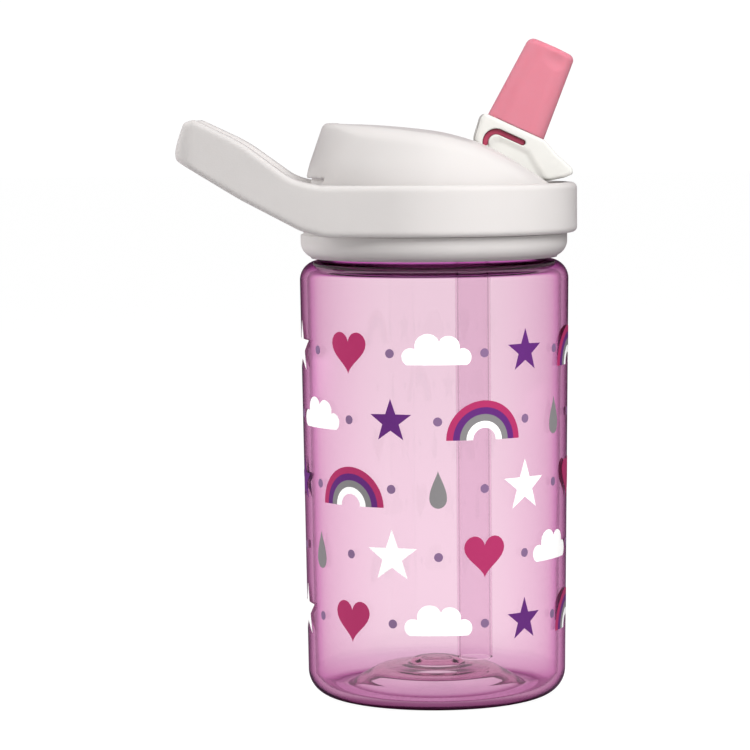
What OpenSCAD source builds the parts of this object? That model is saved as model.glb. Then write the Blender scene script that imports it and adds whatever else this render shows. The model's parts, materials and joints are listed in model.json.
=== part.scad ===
// Kids water bottle with a screw cap, a finger-loop handle and a fold-down sip spout.
// Millimetres, +Z up. The origin is the centre of the standing ring under the bottle.
// +X points to the side on which the spout opens, and the handle loop is on the -X side.

/* [Bottle] */
// Outside radius just under the shoulder
body_r_top = 36.5; // [36.5:0.1:37.5]
// Outside radius just above the base corner
body_r_foot = 35.2; // [34.5:0.1:36]
// Height of the top of the shoulder
shoulder_z = 118.8; // [110:0.1:119.2]
// Height of the rim of the neck
rim_z = 131; // [130.8:0.1:131]
// Wall thickness of the bottle
wall = 1.9; // [1.5:0.1:2.2]
// Radius of the rounded base corner
base_corner = 6.9; // [5:0.1:8]
// Radius of the rounded shoulder
shoulder_corner = 5.3; // [4:0.1:5.3]
// Outside radius of the neck
neck_r = 31; // [30.8:0.1:31.1]

/* [Thread] */
// Rise of the thread in one turn
lead = 12; // [10:0.5:12]
// Number of thread starts
starts = 3; // [3:1:3]
// Height of a ridge above its wall
ridge_h = 1.4; // [1:0.1:1.5]

/* [Cap] */
// Outside radius of the lower collar
collar_r = 36.2; // [36:0.1:36.5]
// Height of the collar's lower edge
collar_z = 119.3; // [119.3:0.1:119.6]
// Height of the band's lower edge
band_z0 = 126; // [125.5:0.1:126.5]
// Height of the band's upper edge
band_z1 = 139.5; // [139:0.1:139.5]
// Outside radius of the band
band_r = 38.9; // [38.5:0.1:39.5]

/* [Handle] */
// Distance from the bottle's axis to the end of the loop
loop_reach = 69.7; // [66:0.1:72]
// Radius of the loop's two end corners
loop_corner = 8; // [6:0.5:9]
// Half the straight width of the loop's end
loop_end = 12.5; // [10:0.5:13]
// Width of the loop's arms at the end
loop_arm = 5.5; // [5:0.1:5.8]

/* [Dome] */
// Radius of the dome's foot
dome_r = 35.3; // [35.2:0.1:35.4]
// Radius of the dome's top edge
dome_top_r = 29.8; // [29:0.1:31]
// Height of the dome's highest edge
dome_z = 156; // [155.7:0.1:156.5]
// Thickness of the dome's shell
dome_wall = 1.8; // [1.5:0.1:2]
// Half the width of the groove that takes the folded spout
groove_y = 9.6; // [9.5:0.1:10]

/* [Spout] */
// Pivot position along X
pivot_x = 17.8; // [17.6:0.1:18]
// Pivot height
pivot_z = 144.5; // [144.5:0.1:144.8]
// Lean of the open spout from the vertical, in degrees
spout_lean = 24.9; // [24.5:0.1:25.5]
// Radius of the rotating barrel
barrel_r = 6.3; // [6.2:0.1:6.4]
// Half the width of the stem across the pivot
stem_y = 9.1; // [9:0.1:9.2]
// Radius of the pivot pins
pin_r = 1.9; // [1.7:0.1:2]
// Radius of the drinking bore
bore_r = 2.5; // [2:0.1:2.6]
// Length from the pivot to the tip of the mouthpiece
tip_s = 34.8; // [33:0.1:35]

/* [Straw] */
// Position of the straw along X
straw_x = 10.5; // [10.4:0.1:10.6]
// Outside radius of the straw
straw_r = 4.8; // [4.6:0.1:5]
// Height of the straw's lower end
straw_z0 = 9.4; // [9.4:0.1:20]

/* [Hidden] */
$fn = 96;

thread_z = 122.2;                     // centre of a bottle ridge at its lower end
ridge_root = 1.1;                     // half width of a ridge at its wall
ridge_tip = 0.6;                      // half width of a ridge at its crest
collar_in_r = neck_r + ridge_h + 0.7; // inside wall of the collar
seat_r = 35.4;                        // collar wall inside the band
plate_z0 = 132.5;                     // underside of the cap's inner plate
plate_z1 = 134.1;                     // top of the cap's inner plate
gasket_gap = 0.1;                     // room above and below the rim gasket
running = 0.05;                       // radial clearance of pins, straw and seal
straw_wall = 0.8;                     // thickness of the straw's wall
straw_z1 = 127.5;                     // upper end of the straw, against the nozzle's shoulder
seal_s = -8.5;                        // lower end of the stem seal along the spout's axis
seal_r = 4;                           // outside radius of the stem seal and of its spigot
seat_boss_r = 5.2;                    // boss in the groove that holds the stem seal
groove_z = 135.7;                     // floor of the groove
stem_top_s = 10.85;                   // where the mouthpiece leaves the stem
nipple_r = 4.5;                       // tube inside the mouthpiece
nipple_s = 24;                        // end of that tube
relief_s = 8.1;                       // end of the stem's notch that passes over the seal
skirt_y = 7.5;                        // half width of the mouthpiece's root in the stem
opening_r = 26;                       // circle that the sides of the finger opening aim at
vent_x = -15;                         // position of the vent valve
off_white = [0.93, 0.92, 0.91];
pink = [0.90, 0.52, 0.58];

// Points of an arc about [x, z] from angle a0 to a1.
function arc(x, z, r, a0, a1, n = 8) =
    [for (i = [0:n]) let (a = a0 + (a1 - a0) * i / n) [x + r * cos(a), z + r * sin(a)]];

// Extrudes an outline drawn in X and Z over -half to +half in Y.
module slab(half) {
    rotate([90, 0, 0]) linear_extrude(2 * half, center = true) children();
}

// Puts children drawn about the pivot, with the spout straight up, at the open spout's place.
module at_spout() {
    translate([pivot_x, 0, pivot_z]) rotate([0, spout_lean, 0]) children();
}

// Round bar along Y about the pivot.
module bar_y(r, half) {
    rotate([90, 0, 0]) cylinder(h = 2 * half, r = r, center = true);
}

// Helical ridges on a wall of radius r0 with their crests at r1, between two angles.
module ridges(r0, r1, drop, from_a, to_a) {
    step = 6;
    n = round((to_a - from_a) / step);
    out = r1 > r0 ? 1 : -1;
    sunk = r0 - 0.4 * out;
    points = [for (i = [0:n]) let (
        a = from_a + i * step,
        z = thread_z - drop + lead * a / 360,
        f = min(1, (i + 0.4) / 3, (n - i + 0.4) / 3),
        crest = r0 + (r1 - r0) * f)
        for (p = [[sunk, -ridge_root], [crest, -ridge_tip * f], [crest, ridge_tip * f], [sunk, ridge_root]])
            [p[0] * cos(a), p[0] * sin(a), z + p[1]]];
    sides = [for (i = [0:n - 1]) for (k = [0:3]) let (
        a = 4 * i + k, b = 4 * i + (k + 1) % 4, c = b + 4, d = a + 4)
        each out > 0 ? [[a, b, c], [a, c, d]] : [[c, b, a], [d, c, a]]];
    first = out > 0 ? [[3, 2, 1, 0]] : [[0, 1, 2, 3]];
    m = 4 * n;
    last = out > 0 ? [[m, m + 1, m + 2, m + 3]] : [[m + 3, m + 2, m + 1, m]];
    for (k = [0:starts - 1]) rotate([0, 0, 360 / starts * k])
        polyhedron(points, concat(sides, first, last), convexity = 4);
}

module bottle() {
    inner_foot = body_r_foot - wall;
    inner_top = body_r_top - wall;
    foot_r = body_r_foot - base_corner;
    neck_in_r = neck_r - 2.4;
    corner_z = shoulder_z - shoulder_corner;
    top_x = body_r_top - shoulder_corner;
    inner_corner = base_corner - wall;
    outline = concat(
        [[0, 6.6], [9, 6.4], [15.6, 5.5], [20.6, 2.5], [23, 0.5], [24.2, 0], [foot_r, 0]],
        arc(foot_r, base_corner, base_corner, -80, 0),
        arc(top_x, corner_z, shoulder_corner, 0, 90),
        [[neck_r, shoulder_z], [neck_r, rim_z - 0.5], [neck_r - 0.5, rim_z],
         [neck_in_r + 0.5, rim_z], [neck_in_r, rim_z - 0.5], [neck_in_r, shoulder_z - wall]],
        arc(top_x, corner_z, shoulder_corner - wall, 90, 0),
        arc(inner_foot - inner_corner, base_corner + 0.2, inner_corner, 0, -90),
        [[25.6, 2.2], [24.3, 2.6], [21.2, 4.6], [16, 7.4], [9.3, 8.3], [6.2, 8.4], [4.2, 10.2], [3.3, 10.6],
         [0, 10.6]]);
    color([0.86, 0.66, 0.80, 0.5]) {
        rotate_extrude() polygon(outline);
        ridges(neck_r, neck_r + ridge_h, 0, 3, 153);
    }
}

module rim_gasket() {
    color([0.96, 0.96, 0.95]) translate([0, 0, rim_z + gasket_gap]) difference() {
        cylinder(h = plate_z0 - rim_z - 2 * gasket_gap, r = neck_r + 1);
        translate([0, 0, -1]) cylinder(h = 5, r = neck_r - 2.7);
    }
}

module cap_collar() {
    edge = 4.5;
    centre_z = collar_z + edge - 0.2;
    outline = concat(
        [[0, plate_z0], [27, plate_z0], [27, plate_z0 - 2], [28, plate_z0 - 2], [28, plate_z0],
         [collar_in_r, plate_z0], [collar_in_r, collar_z + 0.1]],
        arc(collar_r - edge, centre_z, edge, -68, 0),
        [[collar_r, band_z0], [seat_r, band_z0], [seat_r, 128.7], [seat_r + 0.4, 129.3], [seat_r, 129.9],
         [seat_r, plate_z1], [0, plate_z1]]);
    elbow_s = (straw_x - pivot_x) / sin(spout_lean);
    elbow_z = pivot_z + elbow_s * cos(spout_lean);
    nozzle_z = 120.5;
    nozzle_r = straw_r - straw_wall - running;
    color(off_white) difference() {
        union() {
            rotate_extrude() polygon(outline);
            ridges(collar_in_r, collar_in_r - ridge_h, lead / starts / 2, 39, 159);
            translate([straw_x, 0, 0]) rotate_extrude() polygon([
                [0, nozzle_z], [nozzle_r, nozzle_z], [nozzle_r, straw_z1 + 0.2],
                [straw_r + 0.4, straw_z1 + 0.2], [straw_r + 0.4, plate_z0 + 0.5], [0, plate_z0 + 0.5]]);
            at_spout() translate([0, 0, elbow_s + 1]) cylinder(h = seal_s - elbow_s - 1, r = seal_r);
        }
        translate([straw_x, 0, nozzle_z - 1]) cylinder(h = elbow_z - nozzle_z + 2.4, r = bore_r + 0.2);
        at_spout() translate([0, 0, elbow_s - 1.2]) cylinder(h = seal_s - elbow_s + 2.2, r = bore_r);
        translate([vent_x, 0, plate_z0 - 1]) cylinder(h = 4, r = 1.5);
        for (a = [0:120:240]) translate([vent_x + 3.2 * cos(a), 3.2 * sin(a), plate_z0 - 1])
            cylinder(h = 4, r = 0.8);
    }
}

// Outside form of the dome, drawn smaller by inset.
module dome_form(inset) {
    intersection() {
        rotate_extrude() polygon([
            [0, plate_z1], [dome_r - inset, plate_z1], [dome_r - inset, band_z1 + 0.5],
            [dome_top_r + 0.5 - inset, dome_z - 1 - inset], [dome_top_r - 1.5 - inset, dome_z - inset],
            [0, dome_z - inset]]);
        translate([0, 0, -inset]) slab(40) polygon([
            [-40, 128.5], [40, 128.5], [40, band_z1 - 0.1], [30.9, band_z1 - 0.1], [25.7, 143.1],
            [20.1, 146.9], [15.3, 148.9], [12, 150.6], [6, 152.5], [0, 153.9], [-6, 154.7],
            [-12.5, 155.2], [-28, dome_z], [-40, dome_z]]);
    }
}

// The groove for the folded spout, drawn larger by grow below and at its ends.
module groove(grow, half) {
    slab(half) polygon([
        [-25.5 - grow, 170], [-23.6 - grow, 150.5], [-21.5 - grow, 146 - grow], [-18, 143.5 - grow],
        [3 - grow / 3, groove_z - grow], [31 + grow, groove_z - grow], [31 + grow, band_z1 - 0.5],
        [40, band_z1 - 0.5], [40, 170]]);
}

module cap_dome() {
    boss_y = 14.4;
    color(off_white) difference() {
        union() {
            difference() {
                union() {
                    difference() {
                        dome_form(0);
                        translate([0, 0, -0.01]) dome_form(dome_wall);
                    }
                    intersection() {
                        dome_form(0);
                        union() {
                            groove(1.6, groove_y + 1.6);
                            translate([pivot_x, 0, pivot_z]) bar_y(4.2, boss_y);
                        }
                    }
                }
                groove(0, groove_y);
            }
            intersection() {
                at_spout() translate([0, 0, -14]) cylinder(h = 6.8, r = seat_boss_r);
                translate([0, 0, plate_z1]) cylinder(h = 20, r = 30);
            }
        }
        translate([pivot_x, 0, pivot_z]) bar_y(pin_r + running, 12.8);
        at_spout() translate([0, 0, -20]) cylinder(h = 16, r = seal_r + running);
    }
}

// Plan of the handle: the band's circle joined to two corner circles by their tangents.
module loop_plan(reach, big_r, small_r) {
    cx = -(loop_reach - loop_corner);
    a = atan2(loop_end, cx) - acos((big_r - small_r) / norm([cx, loop_end]));
    n = [cos(a), sin(a)];
    side = [[big_r * n[0], big_r * n[1]], [cx + small_r * n[0], loop_end + small_r * n[1]],
            [cx - small_r, loop_end]];
    polygon(concat(side, [for (i = [2:-1:0]) [side[i][0], -side[i][1]]]));
    for (y = [-loop_end, loop_end]) translate([cx, y]) circle(r = small_r);
}

module carry_handle() {
    rise = [[0, band_z0], [-31, band_z0], [-35.5, 127.6], [-51.8, 136], [-69, 146.4], [-69.7, 148.1],
            [-68.7, 151], [-66.9, 155.5], [-65.3, 157.1], [-63.4, 157], [-61.2, 155.7],
            [-37.9, 141.2], [-34.5, band_z1], [0, band_z1]];
    color(off_white) difference() {
        union() {
            translate([0, 0, band_z0]) cylinder(h = band_z1 - band_z0, r = band_r);
            intersection() {
                translate([0, 0, 120]) linear_extrude(50) loop_plan(loop_reach, band_r, loop_corner);
                slab(40) polygon(rise);
            }
        }
        translate([0, 0, 120]) linear_extrude(50) difference() {
            loop_plan(loop_reach, opening_r, loop_corner - loop_arm);
            translate([-29.5, -50]) square([100, 100]);
        }
        translate([0, 0, 120]) cylinder(h = 50, r = seat_r + 0.2);
        rotate_extrude() polygon([[34, 128.4], [seat_r + 0.2, 128.4], [seat_r + 0.6, 129.3],
                                  [seat_r + 0.2, 130.2], [34, 130.2]]);
    }
}

module stem_seal() {
    color([0.96, 0.96, 0.95]) at_spout() difference() {
        translate([0, 0, seal_s]) cylinder(h = 4, r = seal_r);
        bar_y(barrel_r + 0.1, 10);
        translate([0, 0, seal_s - 1]) cylinder(h = 10, r = bore_r);
    }
}

module vent_valve() {
    color([0.96, 0.96, 0.95]) translate([vent_x, 0, 0]) rotate_extrude() polygon([
        [0, plate_z0 - 1.6], [2, plate_z0 - 1.5], [5, plate_z0 - 0.6], [5, plate_z0 - 0.1],
        [1.45, plate_z0 - 0.1], [1.45, plate_z1 + 0.1], [2.1, plate_z1 + 0.4], [1.4, plate_z1 + 2],
        [0, plate_z1 + 2.2]]);
}

module straw() {
    color([0.95, 0.92, 0.95, 0.5]) translate([straw_x, 0, straw_z0]) difference() {
        cylinder(h = straw_z1 - straw_z0, r = straw_r);
        translate([0, 0, -1]) cylinder(h = straw_z1, r = straw_r - straw_wall);
    }
}

// Side outline of the stem about the pivot: X across the spout, Z along it.
module stem_side() {
    polygon(concat(
        [[-4, -4], [-6.6, 0], [-9.07, 3.6], [-9.9, 9.4]],
        arc(-8.75, stem_top_s - 1.15, 1.15, 180, 90, 4),
        [[7.8, stem_top_s], [8.7, 10.5], [12.5, 8.7], [18, 7], [19.05, 5.9], [17.4, 4], [14.2, 1.65], [5, -3]]));
}

// Hook-shaped window in each cheek of the stem.
module hook(width) {
    bend = 3;
    low_a = 225;
    x = -3.4;
    z = 5.15;
    half = width / 2;
    polygon(concat(
        arc(3.1, z + bend, half, -90, 80, 5),
        arc(x, z, bend + half, 90, low_a, 8),
        arc(x + bend * cos(low_a), z + bend * sin(low_a), half, low_a + 30, low_a + 150, 4),
        arc(x, z, bend - half, low_a, 90, 6)));
}

// The stem's hollow, which the root of the mouthpiece fills.
module root_space(gap) {
    low = 2.9 - gap;
    knee = 8.3 - gap;
    difference() {
        translate([-6.9 - gap, -skirt_y - gap, low])
            cube([11.9 + 2 * gap, 2 * (skirt_y + gap), stem_top_s - low + gap]);
        translate([-10, -5.8 + gap, low - 1]) cube([20, 2 * (5.8 - gap), knee - low + 1]);
    }
}

module spout_stem() {
    color("white") at_spout() difference() {
        union() {
            difference() {
                slab(stem_y) stem_side();
                translate([-12, -5.6, -6]) cube([8.5, 11.2, relief_s + 6]);
                root_space(running);
                slab(stem_y + 1) hook(1.6);
            }
            bar_y(barrel_r, stem_y);
            translate([0, 0, relief_s]) cylinder(h = nipple_s - relief_s, r = nipple_r);
            bar_y(pin_r, 12.6);
        }
        translate([0, 0, -10]) cylinder(h = 40, r = bore_r);
    }
}

// Thin oval slice at a height along the spout.
module oval(s, half_x, half_y) {
    translate([0, 0, s]) linear_extrude(0.5) scale([half_x, half_y]) circle(r = 1, $fn = 32);
}

module bite_valve() {
    base_x = 8.15;
    tip_x = 6.6;
    base_y = 8.6;
    tip_y = 7.8;
    color(pink) at_spout() difference() {
        union() {
            hull() {
                oval(stem_top_s, base_x, base_y);
                oval(tip_s - 1.5, tip_x, tip_y);
                oval(tip_s - 0.5, tip_x - 1, tip_y - 1);
            }
            root_space(0);
            intersection() {
                slab(stem_y - 0.5) hook(1.5);
                union() for (y = [-stem_y, skirt_y]) translate([-10, y, 0]) cube([20, stem_y - skirt_y, 20]);
            }
        }
        translate([0, 0, -1]) cylinder(h = nipple_s + 1.3, r = nipple_r + running);
        translate([0, 0, nipple_s]) cylinder(h = tip_s - nipple_s - 2.2, r = 4);
        bar_y(barrel_r + running, 10);
        translate([-0.2, -4.5, tip_s - 4]) cube([0.4, 9, 6]);
    }
}

bottle();
rim_gasket();
cap_collar();
cap_dome();
carry_handle();
stem_seal();
vent_valve();
straw();
spout_stem();
bite_valve();
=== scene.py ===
"""Kids water bottle: the looks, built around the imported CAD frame.

Shapes are worked out in millimetres in the CAD frame and become metres when a mesh is made.
Moulded pieces are distance fields, so that their edges and joins have true fillets.
"""
import itertools
import json
import math

import bmesh
import bpy
import numpy as np
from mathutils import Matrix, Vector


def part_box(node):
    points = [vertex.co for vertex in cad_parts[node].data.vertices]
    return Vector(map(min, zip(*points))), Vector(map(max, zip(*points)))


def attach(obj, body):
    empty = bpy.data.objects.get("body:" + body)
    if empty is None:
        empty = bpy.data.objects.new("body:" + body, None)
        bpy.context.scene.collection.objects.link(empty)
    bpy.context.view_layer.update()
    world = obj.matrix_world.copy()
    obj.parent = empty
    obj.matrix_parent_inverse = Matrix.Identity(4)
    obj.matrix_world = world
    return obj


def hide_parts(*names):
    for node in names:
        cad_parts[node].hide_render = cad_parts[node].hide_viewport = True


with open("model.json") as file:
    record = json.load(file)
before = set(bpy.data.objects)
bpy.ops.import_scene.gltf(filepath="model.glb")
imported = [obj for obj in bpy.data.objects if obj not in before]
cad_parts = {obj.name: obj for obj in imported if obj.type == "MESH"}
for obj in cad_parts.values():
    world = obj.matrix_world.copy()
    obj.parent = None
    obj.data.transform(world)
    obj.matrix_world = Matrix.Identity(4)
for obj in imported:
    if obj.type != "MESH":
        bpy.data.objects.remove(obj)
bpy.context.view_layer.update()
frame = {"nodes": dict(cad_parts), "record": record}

MM = 0.001                             # metres in a millimetre
COARSE = 1.0
TURN = 240                             # faces round a threaded piece
NEAR = 0.01                            # points closer than this to a radius are on it


def node_box(node):
    """Lowest and highest corner of a CAD node, in millimetres."""
    low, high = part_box(node)
    return np.array(low) / MM, np.array(high) / MM


# ---------------------------------------------------------------- sizes, most of them from the frame
bottle_high = node_box("bottle")[1]
handle_low, handle_high = node_box("carry_handle")
collar_low, collar_high = node_box("cap_collar")
dome_low, dome_high = node_box("cap_dome")
straw_low, straw_high = node_box("straw")
gasket_low, gasket_high = node_box("rim_gasket")
joints = {j["name"]: j for j in frame["record"]["behaviour"]["joints"]}
pivot = np.array(joints["spout_flip"]["pos_m"]) / MM

rim_z = bottle_high[2]            # rim of the neck
body_r_top = bottle_high[0]       # outside radius under the shoulder
body_r_foot = body_r_top - 1.3    # outside radius above the base corner
base_corner = 6.9                 # radius of the corner under the body
shoulder_corner = 5.3             # radius of the corner above it
shoulder_z = rim_z - 12.2         # foot of the neck
wall = 1.9                        # thickness of the bottle
neck_r = gasket_high[0] - 1.0     # outside radius of the neck
ridge_h = 1.4                     # height of the thread's ridges
lead = 12.0                       # rise of a ridge in one turn
thread_z = shoulder_z + 3.4       # middle of a ridge at its lower end

collar_r = collar_high[0]
seat_r = 35.4                     # collar wall and band meet here
plate_z0 = gasket_high[2] + 0.1   # underside of the cap's inner plate
plate_z1 = dome_low[2]            # top of that plate
nozzle_z = 120.5                  # lower end of the straw's socket
shelf_z = 127.7                   # shelf that the straw is pushed up to
band_r = handle_high[1]
band_z0 = handle_low[2]
band_z1 = dome_low[2] + 5.4
loop_corner = 8.0                 # outer radius of the two corners at the loop's end
loop_y = 12.5                     # half the distance between their centres
dome_r = dome_high[0]
dome_z = dome_high[2]
groove_y = 9.6                    # half width of the groove for the spout

spout_lean = math.radians(24.9)   # the spout leans this far from upright
stem_y = 9.1                      # half width of the stem
stem_top = 10.85                  # top of the stem, along the spout from the pivot
tip_s = 34.8                      # tip of the mouthpiece, along the spout from the pivot


# ---------------------------------------------------------------- meshes
def mesh_object(name, verts, faces, material, smooth=True):
    """A new object from points in millimetres and faces."""
    mesh = bpy.data.meshes.new(name)
    mesh.from_pydata((np.asarray(verts) * MM).tolist(), [], faces)
    mesh.validate()
    mesh.polygons.foreach_set("use_smooth", [smooth] * len(mesh.polygons))
    obj = bpy.data.objects.new(name, mesh)
    bpy.context.collection.objects.link(obj)
    mesh.materials.append(material)
    return obj


def piece(obj, body, slot, *nodes):
    """Puts a finished piece on its body and hides the CAD nodes it stands for. slot is not used."""
    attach(obj, body)
    if nodes:
        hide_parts(*nodes)


def arc(x, z, r, a0, a1, steps):
    """Points of an arc about (x, z), angles in degrees."""
    angles = np.radians(np.linspace(a0, a1, steps + 1))
    return [(x + r * math.cos(a), z + r * math.sin(a)) for a in angles]


def filleted(points, closed=True):
    """An outline with each corner rounded by its own radius: (x, z) is sharp, (x, z, r) is round.

    A round corner has a point a little way off on each side, so that shading stays flat between corners.
    """
    steps, support = 7, 0.25
    out = []
    count = len(points)
    for i, point in enumerate(points):
        here = np.array(point[:2], float)
        radius = point[2] if len(point) > 2 else 0
        if radius == 0 or (not closed and i in (0, count - 1)):
            out.append(tuple(here))
            continue
        a = np.array(points[i - 1][:2], float) - here
        b = np.array(points[(i + 1) % count][:2], float) - here
        len_a, len_b = np.linalg.norm(a), np.linalg.norm(b)
        a, b = a / len_a, b / len_b
        half = math.acos(np.clip(a @ b, -1, 1)) / 2
        reach = min(radius / math.tan(half), 0.49 * len_a, 0.49 * len_b)
        radius = reach * math.tan(half)
        centre = here + (a + b) / np.linalg.norm(a + b) * radius / math.sin(half)
        start, end = here + a * reach - centre, here + b * reach - centre
        a0 = math.atan2(start[1], start[0])
        turn = (math.atan2(end[1], end[0]) - a0 + math.pi) % (2 * math.pi) - math.pi
        if reach + support < 0.49 * len_a:
            out.append(tuple(here + a * (reach + support)))
        out += [(centre[0] + radius * math.cos(a0 + turn * k / steps),
                 centre[1] + radius * math.sin(a0 + turn * k / steps)) for k in range(steps + 1)]
        if reach + support < 0.49 * len_b:
            out.append(tuple(here + b * (reach + support)))
    return out


def smooth_curve(points):
    """A curve through the points."""
    steps = 8
    pts = np.array(points, float)
    last = len(pts) - 1
    out = []
    for i in range(last):
        p0, p1, p2, p3 = (pts[min(max(i + k, 0), last)] for k in (-1, 0, 1, 2))
        for t in np.arange(steps) / steps:
            out.append(0.5 * (2 * p1 + (p2 - p0) * t + (2 * p0 - 5 * p1 + 4 * p2 - p3) * t * t
                              + (3 * p1 - p0 - 3 * p2 + p3) * t ** 3))
    return np.array(out + [pts[-1]])


def revolved(profile, segments, bump=None):
    """Points and faces of a profile of (r, z) turned about Z. Material lies left of the profile.

    A profile that starts and ends on the axis is closed by poles, and any other one joins end to start.
    bump(r, z, angle) gives a change of radius.
    """
    profile = np.array(profile, float)
    capped = profile[0, 0] == 0 and profile[-1, 0] == 0
    rows = profile[1:-1] if capped else profile
    angle = np.arange(segments) * 2 * math.pi / segments
    r = np.repeat(rows[:, :1], segments, axis=1)
    z = np.repeat(rows[:, 1:], segments, axis=1)
    a = np.repeat(angle[None], len(rows), axis=0)
    if bump:
        r = r + bump(r, z, a)
    verts = np.stack([r * np.cos(a), r * np.sin(a), z], -1).reshape(-1, 3)
    ids = np.arange(len(verts)).reshape(len(rows), segments)
    nxt = np.roll(ids, -1, axis=1)
    faces = []
    for i in range(0 if capped else -1, len(rows) - 1):
        faces += np.stack([ids[i], nxt[i], nxt[i + 1], ids[i + 1]], -1).tolist()
    if capped:
        first, last = len(verts), len(verts) + 1
        verts = np.vstack([verts, [0, 0, profile[0, 1]], [0, 0, profile[-1, 1]]])
        faces += [[first, int(b), int(c)] for b, c in zip(nxt[0], ids[0])]
        faces += [[last, int(b), int(c)] for b, c in zip(ids[-1], nxt[-1])]
    return verts, faces


def joined(*parts):
    """Several (points, faces) as one."""
    verts, faces, base = [], [], 0
    for v, f in parts:
        verts.append(v)
        faces += [[i + base for i in face] for face in f]
        base += len(v)
    return np.vstack(verts), faces


# ---------------------------------------------------------------- distance fields
def both(a, b, r=0.0):
    """Where a and b overlap, with the edge between them rounded by r, a number or one for each point."""
    if np.ndim(r) == 0 and r == 0:
        return np.maximum(a, b)
    u, v = np.maximum(a + r, 0), np.maximum(b + r, 0)
    return np.minimum(-r, np.maximum(a, b)) + np.sqrt(u * u + v * v)


def less(a, b, r=0.0):
    """a with b cut out of it."""
    return both(a, -b, r)


def either(a, b, r=0.0):
    """a and b together, with a fillet of radius r between them."""
    return -both(-a, -b, r)


def inside(x, z, outline):
    """Signed distance to a closed outline."""
    pts = np.array(outline, float)
    best = np.full(x.shape, 1e9)
    sign = np.ones(x.shape)
    for (ax, az), (bx, bz) in zip(pts, np.roll(pts, -1, axis=0)):
        ex, ez = bx - ax, bz - az
        wx, wz = x - ax, z - az
        t = np.clip((wx * ex + wz * ez) / (ex * ex + ez * ez), 0, 1)
        best = np.minimum(best, (wx - t * ex) ** 2 + (wz - t * ez) ** 2)
        above, below = z >= az, z < bz
        left = ex * wz > ez * wx
        sign = np.where((above & below & left) | (~above & ~below & ~left), -sign, sign)
    return sign * np.sqrt(best)


def spread(values, start, end):
    """0 before start, 1 after end, and smooth between."""
    t = np.clip((values - start) / (end - start), 0, 1)
    return t * t * (3 - 2 * t)


def sampled(field, axes):
    """The field at each point of a grid, worked out in slabs to spare memory."""
    shape = tuple(len(a) for a in axes)
    value = np.empty(shape, np.float32)
    most = 400000    # points worked out at once
    slab = max(1, most // (shape[1] * shape[2]))
    for i in range(0, shape[0], slab):
        grid = np.stack(np.meshgrid(axes[0][i:i + slab], axes[1], axes[2], indexing="ij"), -1)
        value[i:i + slab] = field(grid.reshape(-1, 3)).reshape(grid.shape[:3])
    return value


def crossings(value, cells):
    """For each cell, the mean of the points where the field is zero on the cell's edges."""
    total, hits = np.zeros((len(cells), 3)), np.zeros(len(cells))
    for d, i, j in itertools.product(range(3), (0, 1), (0, 1)):
        shift = np.zeros(3, int)
        shift[(d + 1) % 3], shift[(d + 2) % 3] = i, j
        a = cells + shift
        b = a + np.eye(3, dtype=int)[d]
        va = value[a[:, 0], a[:, 1], a[:, 2]].astype(float)
        vb = value[b[:, 0], b[:, 1], b[:, 2]].astype(float)
        cross = (va < 0) != (vb < 0)
        t = np.where(cross, va / np.where(cross, va - vb, 1), 0)
        total += np.where(cross[:, None], a + t[:, None] * np.eye(3)[d], 0)
        hits += cross
    return total / hits[:, None]


def settled(field, verts, step):
    """The points moved onto the surface, by a few short steps along its slope."""
    reach = 0.04
    for _ in range(3):
        d = field(verts)
        slope = np.stack([(field(verts + reach * np.eye(3)[k]) - d) / reach for k in range(3)], -1)
        move = d / np.maximum((slope ** 2).sum(-1), 0.25)
        verts = verts - np.clip(move, -0.5 * step, 0.5 * step)[:, None] * slope
    return verts


def skin(field, low, high, step):
    """Points and faces of the surface where the field is zero, inside the box low to high.

    There is one point in each grid cell that the surface passes, and one face across each grid edge
    that it crosses. The grid starts off the box by an odd share of a step, so that flat faces of the
    shape don't fall on it.
    """
    step *= COARSE
    axes = [np.arange(a - 1.37 * step, b + 2.4 * step, step) for a, b in zip(low, high)]
    value = sampled(field, axes)
    shape = value.shape
    solid = value < 0
    corners = [solid[i:shape[0] - 1 + i, j:shape[1] - 1 + j, k:shape[2] - 1 + k].astype(np.int8)
               for i, j, k in itertools.product((0, 1), repeat=3)]
    count = sum(corners)
    active = (count > 0) & (count < 8)
    cell = np.full(active.shape, -1, np.int64)
    cells = np.argwhere(active)
    cell[active] = np.arange(len(cells))
    verts = np.array([a[0] for a in axes]) + crossings(value, cells) * step
    faces = []
    for d in range(3):
        u, v = np.eye(3, dtype=int)[(d + 1) % 3], np.eye(3, dtype=int)[(d + 2) % 3]
        front, back = [slice(None)] * 3, [slice(None)] * 3
        front[d], back[d] = slice(0, -1), slice(1, None)
        edge = np.argwhere(solid[tuple(front)] != solid[tuple(back)])
        starts_in = solid[edge[:, 0], edge[:, 1], edge[:, 2]]
        quad = np.stack([cell[tuple((edge - s).T)] for s in (u + v, v, 0 * u, u)], -1)
        faces.append(np.where(starts_in[:, None], quad, quad[:, ::-1]))
    return settled(field, verts, step), np.vstack(faces).tolist()


def from_spout(local):
    """Points drawn about the pivot, with X across the spout and Z along it, in the CAD frame."""
    x, y, z = np.asarray(local, float).T
    return np.stack([pivot[0] + x * math.cos(spout_lean) + z * math.sin(spout_lean), y,
                     pivot[2] - x * math.sin(spout_lean) + z * math.cos(spout_lean)], -1)


# ---------------------------------------------------------------- materials
def srgb(r, g, b):
    """Linear colour of an sRGB one given from 0 to 255."""
    return tuple(((c / 255 + 0.055) / 1.055) ** 2.4 if c > 10 else c / 3294.6 for c in (r, g, b))


def new_material(name):
    """A new material, its nodes, its links and its shader."""
    mat = bpy.data.materials.new(name)
    mat.use_nodes = True
    nodes = mat.node_tree.nodes
    return mat, nodes, mat.node_tree.links, nodes["Principled BSDF"]


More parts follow.
